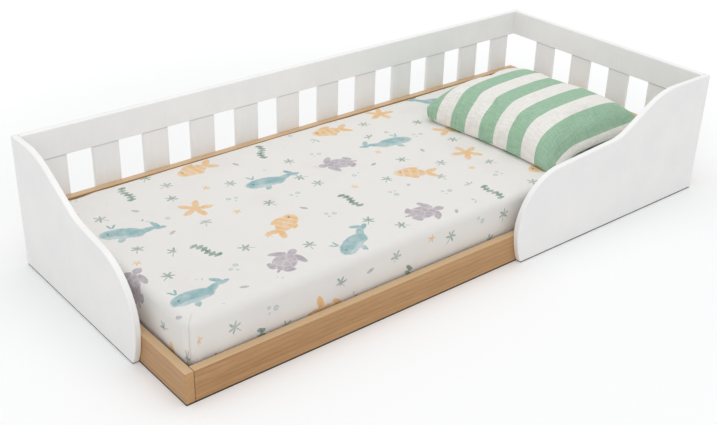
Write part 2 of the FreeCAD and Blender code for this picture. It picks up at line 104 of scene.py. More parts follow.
class Finish:
    """A material while it is being mixed."""

    def __init__(self, name, **plain):
        self.material = bpy.data.materials.new(name)
        self.material.use_nodes = True
        self.tree = self.material.node_tree
        self.surface = self.tree.nodes["Principled BSDF"]
        self.set(**plain)

    def set(self, **sockets):
        """Sets sockets of the surface shader, named with underscores, to values or links."""
        for name, value in sockets.items():
            self.feed(self.surface.inputs[name.replace("_", " ").title()], value)
        return self

    def feed(self, socket, value):
        if isinstance(value, Link):
            self.tree.links.new(value.socket, socket)
        elif hasattr(value, "__len__") and len(value) == 3 and len(socket.default_value) == 4:
            socket.default_value = (*value, 1.0)
        else:
            socket.default_value = value

    def node(self, kind, settings, inputs, output=0):
        """Adds one node: first its settings, then the values or links of its sockets."""
        made = self.tree.nodes.new("ShaderNode" + kind)
        for name, value in settings.items():
            setattr(made, name, value)
        for name, value in inputs.items():
            self.feed(made.inputs[name], value)
        return Link(self, made.outputs[output])

    def coordinates(self, kind="Object"):
        return self.node("TexCoord", {}, {}, output=kind)

    def placed(self, vector, move=(0, 0, 0), turn=(0, 0, 0), scale=(1, 1, 1), kind="POINT"):
        return self.node("Mapping", {"vector_type": kind},
                         {"Vector": vector, "Location": move, "Rotation": turn, "Scale": scale})

    def noise(self, vector, scale, detail=2.0, roughness=0.5):
        return self.node("TexNoise", {}, {"Vector": vector, "Scale": scale, "Detail": detail,
                                          "Roughness": roughness})

    def mix(self, factor, first, second):
        """A colour between two others."""
        return self.node("Mix", {"data_type": "RGBA"}, {0: factor, 6: first, 7: second}, output=2)

    def bump(self, height, depth):
        """The Normal for a height of 0 to 1 that stands for a depth in metres."""
        return self.node("Bump", {}, {"Strength": 1.0, "Distance": depth, "Height": height})


def paint(red, green, blue):
    """A screen colour from 0 to 255 as the linear colour that shaders work in."""
    return tuple((part / 255) ** 2.2 for part in (red, green, blue))


def timber(name, pale, dark, along, pith, ring=0.011):
    """Wood cut from one log: rings round a pith, fibres and pores along the grain; flat faces get a painted
    highlight.
    """
    finish = Finish(name)
    drawn_out = 0.05
    stretch = (drawn_out, 1, 1) if along == "x" else (1, drawn_out, 1)
    turn = (0, 0, 0) if along == "x" else (0, 0, -pi / 2)
    in_log = finish.placed(finish.coordinates(), move=pith, turn=turn, scale=stretch)
    ring_at_scale_1 = 2 * pi / 20
    rings = finish.node("TexWave", {"wave_type": "RINGS", "rings_direction": "X", "wave_profile": "SIN"},
                        {"Vector": in_log, "Scale": ring_at_scale_1 / ring, "Distortion": 7.0,
                         "Detail": 3.0, "Detail Scale": 1.4, "Detail Roughness": 0.6}, output="Fac")
    fibre_scale, pore_scale, cloud_scale = 420.0, 1500.0, 22.0
    fibres = finish.noise(in_log, fibre_scale, 5.0, 0.65)
    pores = finish.noise(finish.placed(in_log, scale=(0.4, 1, 1)), pore_scale, 1.0).between(0.62, 0.74)
    clouds = finish.noise(in_log, cloud_scale, 4.0)
    ring_tone, fibre_tone, cloud_tone, pore_tone = 0.2, 0.34, 0.46, 0.22
    shade = (rings.between(0.1, 1.0) * ring_tone + fibres.between(0.3, 0.75) * fibre_tone
             + clouds.between(0.3, 0.7) * cloud_tone)
    colour = finish.mix(shade, pale, dark)
    colour = finish.mix(pores * pore_tone, colour, tuple(part * 0.5 for part in dark))
    facing = finish.coordinates("Normal")
    # Painted highlight: faces that lie flat, top and bottom, are mixed towards a paler, warmer tint,
    # standing for the light that falls on them from above.
    on_top = facing.part(2).math("ABSOLUTE").between(0.7, 0.95)
    highlight_tint = (0.9, 0.75, 0.52)
    lit_top_colour = tuple(0.6 * part + 0.4 * bare for part, bare in zip(pale, highlight_tint))
    lit_top_share, end_grain_share = 0.75, 0.4
    colour = finish.mix(on_top * lit_top_share, colour, lit_top_colour)
    on_end = facing.part(0 if along == "x" else 1).math("ABSOLUTE").between(0.85, 0.95)
    finish.colour = finish.mix(on_end * end_grain_share, colour, pale)
    relief = fibres * 0.6 + pores * -0.8 + rings * 0.2
    grain_depth = 0.0001
    return finish.set(base_color=finish.colour, roughness=0.4 + fibres * 0.2 + pores * 0.1,
                      coat_weight=0.2, coat_roughness=0.3, normal=finish.bump(relief, grain_depth))


def dressed(name, node, radius=0.0014):
    """A copy of a CAD board with its sharp outer edges sanded round; it stands for the node.

    The short edges round its screw holes stay sharp.
    """
    low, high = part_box(node)
    skin, shortest_rim, flat_angle, sharp_angle = 0.003, 0.006, radians(0.5), radians(20)
    bm = bmesh.new()
    bm.from_mesh(nodes[node].data)
    bmesh.ops.remove_doubles(bm, verts=bm.verts, dist=1e-6)
    bmesh.ops.dissolve_limit(bm, angle_limit=flat_angle, verts=bm.verts, edges=bm.edges)
    sharp = []
    for edge in bm.edges:
        middle = (edge.verts[0].co + edge.verts[1].co) / 2
        sides = [min(middle[i] - low[i], high[i] - middle[i]) < skin for i in range(3)]
        on_outside = sum(sides) >= 2 or (sum(sides) == 1 and edge.calc_length() > shortest_rim)
        if on_outside and edge.calc_face_angle(0) > sharp_angle:
            sharp.append(edge)
    bmesh.ops.bevel(bm, geom=sharp, offset=radius, offset_type="OFFSET", segments=3, profile=0.5,
                    affect="EDGES", material=-1, clamp_overlap=True)
    return made(bm, name, node, smooth_below=32)


def made(bm, name, node, body="bed_frame", smooth_below=180):
    """Turns mesh work into a piece that rides on a body and stands for a CAD node."""
    mesh = bpy.data.meshes.new(name)
    bm.to_mesh(mesh)
    bm.free()
    mesh.shade_smooth()
    piece = bpy.data.objects.new(name, mesh)
    bpy.context.scene.collection.objects.link(piece)
    if smooth_below < 180:
        mesh.set_sharp_from_angle(angle=radians(smooth_below))
        piece.modifiers.new("flat faces stay flat", "WEIGHTED_NORMAL").keep_sharp = True
    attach(piece, body)
    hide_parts(node)
    return piece


def give(piece, finish):
    """Coats a piece with a finish, as its one material slot."""
    piece.data.materials.clear()
    piece.data.materials.append(finish.material)


honey = paint(195, 153, 104)
amber = paint(155, 109, 66)
oiled_x = timber("oiled_wood_lengthwise", honey, amber, "x", (0.0, 0.30, 0.055))
oiled_y = timber("oiled_wood_crosswise", honey, amber, "y", (0.3, -0.70, 0.06))
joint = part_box("head_board")[0].x
inner_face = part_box("front_rail")[1].y
seam_depth = 0.5
for finish in (oiled_x, oiled_y):
    where = finish.coordinates()
    off_joint = (where.part(0).math("ABSOLUTE") - joint).math("ABSOLUTE")
    past_inner_face = where.part(1).math("ABSOLUTE") > abs(inner_face) + 0.0004
    seam = (1.0 - off_joint.between(0.0006, 0.0014)) * past_inner_face
    finish.set(base_color=finish.mix(seam * seam_depth, finish.colour, paint(80, 52, 30)))
for board, finish in (("foot_rail", oiled_y), ("front_rail", oiled_x),
                      ("head_board", oiled_y), ("back_board", oiled_x)):
    give(dressed(board + "_oiled", board), finish)

# ---------------------------------------------------------------- slatted base
# Two ledgers of plain softwood carry twelve slats, which two cotton webbings hold apart. The
# first, a middle and the last slat are screwed down, and the others lie loose.
softwood, softwood_ring = (paint(232, 206, 164), paint(200, 164, 118)), 0.006
plain_x = timber("plain_wood_lengthwise", *softwood, "x", (0, 0.1, 0.05), softwood_ring)
plain_y = timber("plain_wood_crosswise", *softwood, "y", (0.1, 0.2, 0.05), softwood_ring)
for ledger in ("front_ledger", "back_ledger"):
    give(dressed(ledger + "_planed", ledger), plain_x)
for name in sorted(nodes):
    if name.startswith("base_slat_") and name[-1].isdigit():
        give(dressed(name + "_planed", name), plain_y)


def woven(finish, vector, thread):
    """The height of a plain weave, 0 to 1, for threads a given distance apart."""
    warp = (vector.part(0) * (2 * pi / thread)).math("SINE")
    weft = (vector.part(1) * (2 * pi / thread)).math("SINE")
    return warp * weft * 0.5 + 0.5


canvas = Finish("cotton_webbing", roughness=0.9)
canvas_thread, canvas_relief = 0.0016, 0.0003
weave = woven(canvas, canvas.coordinates(), canvas_thread)
canvas.set(base_color=canvas.mix(weave, paint(196, 190, 174), paint(236, 232, 220)),
           normal=canvas.bump(weave, canvas_relief))
webbing_edge = 0.0004
for node in ("base_webbing_front", "base_webbing_back"):
    low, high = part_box(node)
    bm = bmesh.new()
    bmesh.ops.create_cube(bm, size=1.0)
    bmesh.ops.scale(bm, vec=high - low, verts=bm.verts)
    bmesh.ops.translate(bm, vec=(low + high) / 2, verts=bm.verts)
    bmesh.ops.bevel(bm, geom=bm.edges[:], offset=webbing_edge, segments=2, profile=0.5,
                    affect="EDGES", material=-1)
    give(made(bm, node + "_woven", node, smooth_below=40), canvas)

# ---------------------------------------------------------------- white panels, rails and slats
# Boards with a sprayed satin lacquer. The two panels have the S-curve; the rails and slats make
# the back and the head. Each slat ends in a pocket of its top rail; just below it, a painted shadow line
# darkens the slat.
pocket_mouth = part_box("back_top_rail")[0].z


def white_lacquer(name, pocket_shade=0.0):
    """Satin white lacquer. A share above 0 paints a thin line of shade, that strong, just under the mouth
    of the pockets, for the shadow of the rail's edge.
    """
    finish = Finish(name, coat_weight=0.15, coat_roughness=0.25)
    where = finish.coordinates()
    mottle_scale, peel_scale, grain_scale, grain_tone = 9.0, 900.0, 160.0, 0.12
    mottle = finish.noise(where, mottle_scale, 3.0)
    orange_peel = finish.noise(where, peel_scale, 2.0)
    grain = finish.noise(finish.placed(where, scale=(1, 1, 0.06)), grain_scale, 3.0)
    colour = finish.mix(mottle.between(0.3, 0.7), paint(241, 241, 241), paint(246, 245, 244))
    colour = finish.mix(grain.between(0.45, 0.8) * grain_tone, colour, paint(222, 222, 222))
    if pocket_shade:
        # Painted shade: a thin dark band on the slat just below the rail's underside, where the rail's edge
        # casts its shadow.
        below = pocket_mouth - where.part(2)
        colour = finish.mix((1.0 - below.between(0.001, 0.004)) * pocket_shade, colour, paint(150, 149, 147))
    film_depth = 0.00005
    return finish.set(base_color=colour, roughness=0.38 + mottle * 0.12,
                      normal=finish.bump(orange_peel * 0.5 + grain * 0.5, film_depth))


panel_white = white_lacquer("white_lacquer")
slat_white = white_lacquer("white_lacquer_slats", pocket_shade=0.5)
for node in ("foot_panel", "front_guard", "back_top_rail", "head_top_rail"):
    give(dressed(node + "_white", node), panel_white)
for node in sorted(nodes):
    if node.startswith(("back_slat_", "head_slat_")) and node[-1].isdigit():
        give(dressed(node + "_white", node), slat_white)

# ---------------------------------------------------------------- fastenings
# Zinc-plated screws with a cross recess, zinc cams, steel angle brackets and beech dowels.
# Most are out of sight; the slat screws and cams show on the outside of the back and the head.
zinc = Finish("zinc_plate", metallic=1.0)
spangle = zinc.noise(zinc.coordinates(), 600.0, 3.0)
zinc.set(base_color=zinc.mix(spangle, paint(176, 178, 182), paint(214, 215, 217)),
         roughness=0.28 + spangle * 0.2)


def islands(node):
    """The points of each separate solid in a CAD node."""
    bm = bmesh.new()
    bm.from_mesh(nodes[node].data)
    bmesh.ops.remove_doubles(bm, verts=bm.verts, dist=1e-6)
    left = set(bm.verts)
    found = []
    while left:
        edge_of_search = [left.pop()]
        solid = []
        while edge_of_search:
            vertex = edge_of_search.pop()
            solid.append(vertex.co.copy())
            near = {edge.other_vert(vertex) for edge in vertex.link_edges} & left
            left -= near
            edge_of_search += near
        found.append(solid)
    bm.free()
    return found


def span(points):
    """The lowest and highest corners of some points."""
    return (Vector([min(p[i] for p in points) for i in range(3)]),
            Vector([max(p[i] for p in points) for i in range(3)]))


def axis_of(points):
    """The middle of a screw's wide end, the way that end faces, and the screw's length."""
    low, high = span(points)
    size = high - low
    long = max(range(3), key=lambda i: size[i])
    middle = (low + high) / 2
    spread = {}
    for end in (low[long], high[long]):
        spread[end] = max((p - middle).length for p in points if abs(p[long] - end) < 1e-5)
    wide_end = max(spread, key=spread.get)
    middle[long] = wide_end
    facing = Vector([0, 0, 0])
    facing[long] = 1 if wide_end == high[long] else -1
    return middle, facing, size[long]


def recessed_head(radius, height, slot_reach, slot_side, slot_depth):
    """A round head with a soft rim and a cross recess. The middle of its top is at the origin."""
    bm = bmesh.new()
    bmesh.ops.create_cone(bm, cap_ends=True, segments=20, radius1=radius, radius2=radius,
                          depth=height, matrix=Matrix.Translation((0, 0, -height / 2)))
    rim = [e for e in bm.edges if all(v.co.z > -1e-6 for v in e.verts)]
    soft_rim = 0.0007
    bmesh.ops.bevel(bm, geom=rim, offset=soft_rim, segments=3, profile=0.5, affect="EDGES", material=-1)
    for axis in range(2):
        for offset in (-slot_reach, -slot_side, slot_side, slot_reach):
            top = [f for f in bm.faces if f.calc_center_median().z > -1e-6]
            around = {g for f in top for g in (*f.verts, *f.edges, f)}
            normal = Vector([axis == 0, axis == 1, 0])
            bmesh.ops.bisect_plane(bm, geom=list(around), plane_co=normal * offset, plane_no=normal)
    cross = []
    for face in bm.faces:
        middle = face.calc_center_median()
        near, far = sorted((abs(middle.x), abs(middle.y)))
        if middle.z > -1e-6 and near < slot_side and far < slot_reach:
            cross.append(face)
    sunk = bmesh.ops.extrude_face_region(bm, geom=cross)["geom"]
    floor_of_cross = [part for part in sunk if isinstance(part, bmesh.types.BMVert)]
    bmesh.ops.translate(bm, vec=(0, 0, -slot_depth), verts=floor_of_cross)
    bmesh.ops.delete(bm, geom=cross, context="FACES")
    return bm


def drive_in(bm, one, top, facing):
    """Adds one fastening to the others, turned so that its head faces a way at a point."""
    mesh = bpy.data.meshes.new("one_fastening")
    one.to_mesh(mesh)
    one.free()
    mesh.transform(Matrix.Translation(top) @ facing.to_track_quat("Z", "Y").to_matrix().to_4x4())
    bm.from_mesh(mesh)
    bpy.data.meshes.remove(mesh)


screw_head_height, shank_radius, tip_radius = 0.0024, 0.0017, 0.0006
for node in ("back_slat_screws", "head_slat_screws", "panel_screws", "bracket_screws",
             "ledger_screws", "base_slat_screws"):
    bm = bmesh.new()
    for solid in islands(node):
        head_top, facing, length = axis_of(solid)
        shank = length - screw_head_height
        screw = recessed_head(radius=0.0039, height=screw_head_height,
                              slot_reach=0.0025, slot_side=0.0005, slot_depth=0.0012)
        middle_of_shank = Matrix.Translation((0, 0, -screw_head_height - shank / 2))
        bmesh.ops.create_cone(screw, cap_ends=True, segments=12, radius1=tip_radius,
                              radius2=shank_radius, depth=shank, matrix=middle_of_shank)
        drive_in(bm, screw, head_top, facing)
    give(made(bm, node + "_zinc", node, smooth_below=35), zinc)
bm = bmesh.new()
for solid in islands("cam_locks"):
    low, high = span(solid)
    depth = min(high - low)
    outward = Vector([side == depth for side in high - low])
    cam = recessed_head(radius=0.0072, height=depth, slot_reach=0.0045, slot_side=0.0008, slot_depth=0.002)
    drive_in(bm, cam, (low + high + outward * depth) / 2, outward)
give(made(bm, "cam_locks_zinc", "cam_locks", smooth_below=35), zinc)
give(dressed("corner_brackets_zinc", "corner_brackets", radius=0.0003), zinc)
give(nodes["cam_bolts"], zinc)
dowel_wood = timber("dowel_beech", paint(226, 196, 158), paint(200, 160, 120), "x", (0, 0, 0), 0.003)
for node in ("corner_dowels", "rail_dowels"):
    give(nodes[node], dowel_wood)

# ---------------------------------------------------------------- floor glides
# Eight dark discs of hard plastic keep the bed just off the floor: three under each long board
# and one under the middle of each end board. Their rims are rounded.
glide_plastic = Finish("glide_plastic", roughness=0.6)
grip = glide_plastic.noise(glide_plastic.coordinates(), 1500.0)
glide_plastic.set(base_color=glide_plastic.mix(grip, paint(62, 58, 55), paint(92, 87, 82)),
                  normal=glide_plastic.bump(grip, 0.0001))
glide_radius, glide_rim = 0.008, 0.0006
bm = bmesh.new()
for solid in islands("floor_glides"):
    middle = sum(solid, Vector()) / len(solid)
    height = max(p.z for p in solid)
    disc = bmesh.ops.create_cone(bm, cap_ends=True, segments=32, radius1=glide_radius,
                                 radius2=glide_radius, depth=height,
                                 matrix=Matrix.Translation((middle.x, middle.y, height / 2)))
    rims = {e for v in disc["verts"] for e in v.link_edges if abs(e.verts[0].co.z - e.verts[1].co.z) < 1e-6}
    bmesh.ops.bevel(bm, geom=list(rims), offset=glide_rim, segments=2, profile=0.5,
                    affect="EDGES", material=-1)
give(made(bm, "floor_glides_round", "floor_glides", smooth_below=40), glide_plastic)


# ---------------------------------------------------------------- mattress and its cover
# A block of foam in a zipped cotton cover, laid loose on the slats. Both stay out of sight while
# the sheet is on. They are shaped in code, a little inside the sheet.
sliver = 0.0009


def soft_block(node, corner, rim, grid, slack=0.0):
    """A block in a CAD node's box with round corners and rims, its faces cut to a grid.

    It can be slack all round but underneath, to leave room for the waves of the sheet over it.
    Faces narrower than a sliver are closed up, because they would crease.
    """
    bottom_rim = 0.012
    low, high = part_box(node)
    low += Vector((slack, slack, 0))
    high -= Vector((slack, slack, slack))
    bm = bmesh.new()
    bmesh.ops.create_cube(bm, size=1.0)
    bmesh.ops.scale(bm, vec=high - low, verts=bm.verts)
    bmesh.ops.translate(bm, vec=(low + high) / 2, verts=bm.verts)
    upright = [e for e in bm.edges if abs(e.verts[0].co.z - e.verts[1].co.z) > 0.01]
    bmesh.ops.bevel(bm, geom=upright, offset=corner, segments=12, profile=0.5, affect="EDGES", material=-1)
    for level, radius, rounds in ((high.z, rim, 8), (low.z, bottom_rim, 4)):
        loop = [e for e in bm.edges if all(abs(v.co.z - level) < 1e-6 for v in e.verts)]
        bmesh.ops.bevel(bm, geom=loop, offset=radius, segments=rounds, profile=0.5,
                        affect="EDGES", material=-1)
    for axis in range(3):
        normal = Vector([axis == 0, axis == 1, axis == 2])
        cuts = int((high[axis] - low[axis]) / grid)
        for i in range(1, cuts):
            at = low + (high - low) * (i / cuts)
            bmesh.ops.bisect_plane(bm, geom=bm.verts[:] + bm.edges[:] + bm.faces[:],
                                   plane_co=at, plane_no=normal)
    bmesh.ops.remove_doubles(bm, verts=bm.verts, dist=sliver)
    return bm


foam = Finish("mattress_foam", roughness=1.0)
cells = foam.noise(foam.coordinates(), 700.0, 4.0)
foam.set(base_color=foam.mix(cells, paint(226, 216, 186), paint(246, 240, 218)),
         normal=foam.bump(cells, 0.0006))
core = made(soft_block("mattress_core", corner=0.022, rim=0.018, grid=0.06, slack=0.003),
            "mattress_core_foam", "mattress_core", body="mattress")
give(core, foam)

ticking = Finish("mattress_ticking", roughness=0.85)
ticking_thread = 0.0008
weave = woven(ticking, ticking.coordinates(), ticking_thread)
ticking.set(base_color=ticking.mix(weave, paint(214, 214, 212), paint(238, 238, 236)),
            normal=ticking.bump(weave, 0.0002))
cover = made(soft_block("mattress_cover", corner=0.024, rim=0.02, grid=0.04, slack=0.0025),
             "mattress_cover_ticking", "mattress_cover", body="mattress")
give(cover, ticking)

# ---------------------------------------------------------------- fitted sheet
# Printed cotton, pulled over the mattress, with a seam down each corner and elastic underneath.
# The print is a scattering of watercolour sea animals and weed, with sprigs and bubbles between.
sheet_low, sheet_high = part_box("fitted_sheet")
pillow_low, pillow_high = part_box("pillow")
sheet_size = sheet_high - sheet_low
hem_return = 0.08


def unfolded(co, normal):
    """Where a point of the sheet lies on the flat cloth: its sides fold out from the top."""
    drop = sheet_high.z - co.z
    sideways = abs(normal.x) + abs(normal.y) + 1e-6
    return Vector((co.x + drop * normal.x / sideways, co.y + drop * normal.y / sideways))


def cloth_relief(co):
    """How far the sheet stands off its smooth form: soft waves, and pulls out of the corners.

    Under the pillow the waves are pressed flat.
    """
    wide_height, narrow_height, pull_height = 0.0022, 0.0009, 0.0016
    wide = noise.noise(Vector((co.x * 3.1, co.y * 4.3, 2.0))) * wide_height
    narrow = noise.noise(Vector((co.x * 9.0 + co.y * 5.0, co.y * 13.0, 7.0))) * narrow_height
    pull = 0.0
    for end in (-1, 1):
        for side in (-1, 1):
            along = co.x * end - sheet_size.x / 2
            across = co.y * side - sheet_size.y / 2
            reach = hypot(along, across)
            ripple = sin(34.0 * (along - across) + 5.0 * noise.noise(co * 6.0))
            pull += pull_height * ripple * exp(-((reach - 0.07) / 0.08) ** 2)
    relief = wide + narrow + pull
    off_pillow = max(pillow_low.x - co.x, co.x - pillow_high.x, pillow_low.y - co.y, co.y - pillow_high.y)
    rise = 0.03
    pressed = min(1.0, max(0.0, 1 - off_pillow / rise))
    return relief - pressed * max(0.0, relief)


def corner_seam(co):
    """1 on the seam that runs down a corner, 0 away from it."""
    seam_width, corner_reach = 0.0034, 0.03
    from_end = sheet_size.x / 2 - abs(co.x)
    from_side = sheet_size.y / 2 - abs(co.y)
    in_corner = max(from_end, from_side) < corner_reach
    return exp(-((from_end - from_side) / seam_width) ** 2) * in_corner


bm = soft_block("fitted_sheet", corner=0.0236, rim=0.0195, grid=0.012)
inside = [f for f in bm.faces if f.calc_center_median().z < sheet_low.z + 1e-5
          and sheet_low.x + hem_return < f.calc_center_median().x < sheet_high.x - hem_return
          and sheet_low.y + hem_return < f.calc_center_median().y < sheet_high.y - hem_return]
bmesh.ops.delete(bm, geom=inside, context="FACES")
bm.normal_update()
flat_cloth = bm.loops.layers.uv.new("flat_cloth")
for face in bm.faces:
    for loop in face.loops:
        loop[flat_cloth].uv = unfolded(loop.vert.co, loop.vert.normal)
seam_line = bm.verts.layers.float.new("corner_seam")
still_hem, pucker_height, seam_groove = 0.02, 0.0007, 0.0016
for vertex in bm.verts:
    seam = corner_seam(vertex.co)
    vertex[seam_line] = seam
    if vertex.co.z > sheet_low.z + still_hem:
        pucker = pucker_height * sin(vertex.co.z * 260.0 + 9.0 * noise.noise(vertex.co * 20.0))
        vertex.co += vertex.normal * (cloth_relief(vertex.co) + seam * (pucker - seam_groove))
sheet = made(bm, "fitted_sheet_printed", "fitted_sheet", body="mattress")
thickness = sheet.modifiers.new("cloth thickness", "SOLIDIFY")
thickness.thickness = 0.0008
thickness.offset = -1.0

print_cloth = Finish("printed_cotton", roughness=0.9)
flat = print_cloth.coordinates("UV")
wash = print_cloth.noise(flat, 38.0, 4.0, 0.6)
blot = print_cloth.noise(flat, 160.0, 3.0, 0.6)
wander = print_cloth.node("TexNoise", {"noise_dimensions": "2D"},
                          {"Vector": flat, "Scale": 130.0, "Detail": 3.0}, output="Color")


def oval(point, centre, reach, lean=0.0):
    """1 inside an oval and 0 outside it, with a soft painted edge."""
    inside = point.finish.placed(point, move=(*centre, 0), turn=(0, 0, radians(lean)),
                                 scale=(*reach, 1), kind="TEXTURE")
    return 1.0 - inside.length().between(0.9, 1.06)


def joined(*marks):
    """The marks painted over each other in one colour."""
    whole = marks[0]
    for mark in marks[1:]:
        whole = whole.math("MAXIMUM", mark)
    return whole


def scattered(pitch, jitter, lean, seed):
    """Lays motifs out in staggered rows, each moved, turned or mirrored by numbers of its own.

    It gives the place in millimetres about the middle of the nearest motif, and a number from 0
    to 1 that picks its kind and changes steadily from motif to motif.
    """
    row = (flat.part(1) / pitch[1] + seed).math("FLOOR")
    column_place = flat.part(0) / pitch[0] + row * 0.5 + seed
    column = column_place.math("FLOOR")
    own = print_cloth.node("TexWhiteNoise", {"noise_dimensions": "3D"},
                           {"Vector": print_cloth.node("CombineXYZ", {}, {0: column, 1: row, 2: seed})},
                           output="Color")
    mirror = (own.part(2) > 0.5) * 2.0 - 1.0
    x = ((column_place - column - 0.5) * pitch[0] + (own.part(0) - 0.5) * jitter) * mirror
    y = (flat.part(1) / pitch[1] + seed - row - 0.5) * pitch[1] + (own.part(1) - 0.5) * jitter
    place = print_cloth.node("CombineXYZ", {}, {0: x * 1000.0, 1: y * 1000.0})
    turned = print_cloth.node("VectorRotate", {"rotation_type": "Z_AXIS"},
                              {"Vector": place, "Angle": (own.part(0) - 0.5) * lean})
    return turned, (column * 0.44 + row * 0.29 + seed).math("FRACT")


def unsteady(point, reach):
    """Shifts a place a little, so that a painted edge isn't a drawn one."""
    shift = print_cloth.node("VectorMath", {"operation": "MULTIPLY_ADD"},
                             {0: wander, 1: (reach, reach, 0.0), 2: (-reach / 2, -reach / 2, 0.0)})
    return print_cloth.node("VectorMath", {"operation": "ADD"}, {0: point, 1: shift})


def whale(p):
    body = oval(p, (6, 0), (42, 21)) * (p.part(1) > -15.0)
    tail = joined(oval(p, (-34, 5), (22, 8), -24), oval(p, (-54, 22), (13, 5.5), 55),
                  oval(p, (-62, 10), (12, 5), -12))
    fin = oval(p, (8, -19), (6, 12), 28)
    spout = joined(oval(p, (20, 30), (2.2, 9), 24), oval(p, (28, 30), (2.2, 9), -24))
    pale = oval(p, (14, -12), (34, 7)) * 0.45 + oval(p, (31, 3), (2.4, 2.4)) * -1.4
    return joined(body, tail, fin, spout), pale


def fish(p):
    body = oval(p, (4, 0), (34, 19))
    tail = joined(oval(p, (-38, 9), (17, 7), -38), oval(p, (-38, -9), (17, 7), 38))
    fins = joined(oval(p, (2, 19), (17, 7), -14), oval(p, (-2, -18), (10, 6), 20))
    bands = (p.part(0) * 0.42).math("SINE").between(0.1, 0.6) * body * 0.4
    return joined(body, tail, fins), bands + oval(p, (25, 4), (2.4, 2.4)) * -1.4


def turtle(p):
    shell = oval(p, (0, 0), (29, 22))
    limbs = joined(oval(p, (20, 22), (7, 17), 32), oval(p, (20, -22), (7, 17), -32),
                   oval(p, (-22, 17), (6, 11), -40), oval(p, (-22, -17), (6, 11), 40),
                   oval(p, (37, 0), (11, 8)), oval(p, (-31, 0), (8, 3)))
    cells = print_cloth.node("TexVoronoi", {"feature": "DISTANCE_TO_EDGE", "voronoi_dimensions": "2D"},
                             {"Vector": p, "Scale": 0.075}, output="Distance")
    return joined(shell, limbs), shell * (1.0 - cells.between(0.04, 0.12)) * 0.5


def starfish(p, size=1.0):
    angle = p.part(1).math("ARCTAN2", p.part(0))
    edge = (angle * 5.0).math("COSINE") * (9.5 * size) + 17.0 * size
    mark = 1.0 - (p.length() / edge).between(0.88, 1.04)
    dots = print_cloth.node("TexVoronoi", {"voronoi_dimensions": "2D"}, {"Vector": p, "Scale": 0.24 / size},
                            output="Distance")
    return mark, (1.0 - dots.between(0.18, 0.3)) * mark * 0.4


def weed(p):
    lift = p.part(1)
    sway = (lift * 0.12).math("SINE") * 3.5
    leaf = (lift * 0.3).math("SINE").math("ABSOLUTE") * 8.0 + 1.2
    off = (p.part(0) - sway).math("ABSOLUTE")
    blades = (1.0 - (off / leaf).between(0.85, 1.1)) * (lift.math("ABSOLUTE") < 31.0)
    return blades, (off < 0.9) * blades * -0.5


def sprig(p):
    leaves = [oval(p, (7 * cos(radians(a)), 9 * sin(radians(a))), (8, 2.6), a)
              for a in (25, 90, 155, 205, 335)]
    return joined(*leaves, oval(p, (0, -12), (1.1, 10)))


def bubbles(p):
    return joined(*(oval(p, (x, y), (r, r)) - oval(p, (x, y), (r * 0.7, r * 0.7)) * 0.55
                    for x, y, r in ((-9, -4, 6), (6, 6, 4.5), (9, -8, 3))))


def painted(ground, mark, tint, strength=1.0, pale=None):
    """Lays one watercolour mark on the cloth, uneven in strength.

    Where pale is above 0 the mark is washed out, and where it is below 0 it is inked dark.
    """
    tone = tint
    if pale is not None:
        ink = tuple(part * 0.25 for part in tint)
        washed_out = (pale * 0.6).math("ADD", 0.0, clamp=True)
        inked = (pale * -1.0).math("ADD", 0.0, clamp=True)
        tone = print_cloth.mix(washed_out, tint, paint(240, 238, 234))
        tone = print_cloth.mix(inked, tone, ink)
    cover = mark * (0.62 + wash.between(0.35, 0.65) * 0.3 + blot.between(0.4, 0.7) * 0.08) * strength
    return print_cloth.mix(cover, ground, tone)


teal, sand = paint(134, 176, 180), paint(232, 184, 118)
lilac, sage = paint(172, 162, 172), paint(124, 152, 138)
sheet_thread = 0.0007
cotton = woven(print_cloth, flat, sheet_thread)
ground = print_cloth.mix(cotton, paint(230, 227, 223), paint(238, 236, 232))
tinge = print_cloth.noise(flat, 7.0, 3.0)
ground = print_cloth.mix(tinge.between(0.5, 0.75) * 0.16, ground, paint(206, 196, 206))

small_place, small_pick = scattered(pitch=(0.082, 0.070), jitter=0.03, lean=2.6, seed=3.3)
small_place = unsteady(small_place, 3.0)
large_place, large_pick = scattered(pitch=(0.196, 0.160), jitter=0.036, lean=1.3, seed=0.0)
clear = large_place.length().between(58.0, 66.0)
small_marks = ((sprig(small_place), 0.0, 0.44, sage),
               (bubbles(small_place), 0.44, 0.64, teal),
               (starfish(small_place, size=0.42)[0], 0.64, 0.8, sand),
               (oval(small_place, (0, 0), (10, 4.5)), 0.8, 0.94, lilac))
for mark, low, high, tint in small_marks:
    chosen = (small_pick > low) * (small_pick < high) * clear
    ground = painted(ground, mark * chosen, tint, strength=0.85)
large_place = print_cloth.placed(unsteady(large_place, 5.0), scale=(0.84, 0.84, 1))
large_marks = ((whale(large_place), -0.01, 0.25, teal),
               (fish(large_place), 0.25, 0.46, sand),
               (turtle(large_place), 0.46, 0.68, lilac),
               (starfish(large_place, size=1.35), 0.68, 0.8, sand),
               (weed(large_place), 0.8, 1.01, sage))
for (mark, pale), low, high, tint in large_marks:
    chosen = (large_pick > low) * (large_pick < high)
    ground = painted(ground, mark * chosen, tint, pale=pale * chosen)
stitched = print_cloth.node("Attribute", {"attribute_name": "corner_seam"}, {}, output="Fac")
ground = print_cloth.mix(stitched.between(0.7, 0.95) * 0.35, ground, paint(168, 162, 158))
print_cloth.set(base_color=ground, normal=print_cloth.bump(cotton, 0.00012))
give(sheet, print_cloth)

elastic = Finish("hem_elastic", roughness=0.8)
ribs = elastic.node("TexWave", {}, {"Vector": elastic.coordinates(), "Scale": 300.0}, output="Fac")
elastic.set(base_color=elastic.mix(ribs, paint(220, 220, 218), paint(245, 245, 243)),
            normal=elastic.bump(ribs, 0.0003))
give(nodes["sheet_elastic"], elastic)

